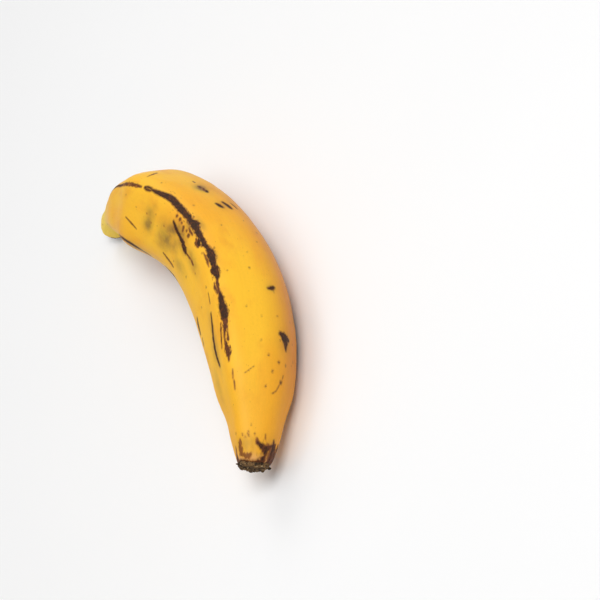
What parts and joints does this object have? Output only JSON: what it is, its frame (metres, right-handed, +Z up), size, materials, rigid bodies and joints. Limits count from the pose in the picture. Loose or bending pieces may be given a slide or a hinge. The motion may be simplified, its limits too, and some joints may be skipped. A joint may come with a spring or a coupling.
{
  "type": "ripe plantain",
  "caption": "Whole ripe plantain, curved and softly ridged, with a dried dark tip and a torn stalk end, lying on its side.",
  "frame": {"origin": "centre of the bounding box's bottom face, on the surface that the fruit lies on", "axes": "+X from the dried tip towards the stalk end, along the straight line between the ends; +Z up; the outer side of the bend faces -Y"},
  "size_m": [0.2628, 0.086, 0.0536],
  "materials": {
    "peel": "ripe yellow-orange peel, satin, with dark streaks along the ridges, grey-green bruises, brown flecks, a dark crust at the tip and a torn brown stalk end"
  },
  "bodies": {
    "root": {"plantain": "peel"}
  },
  "joints": []
}
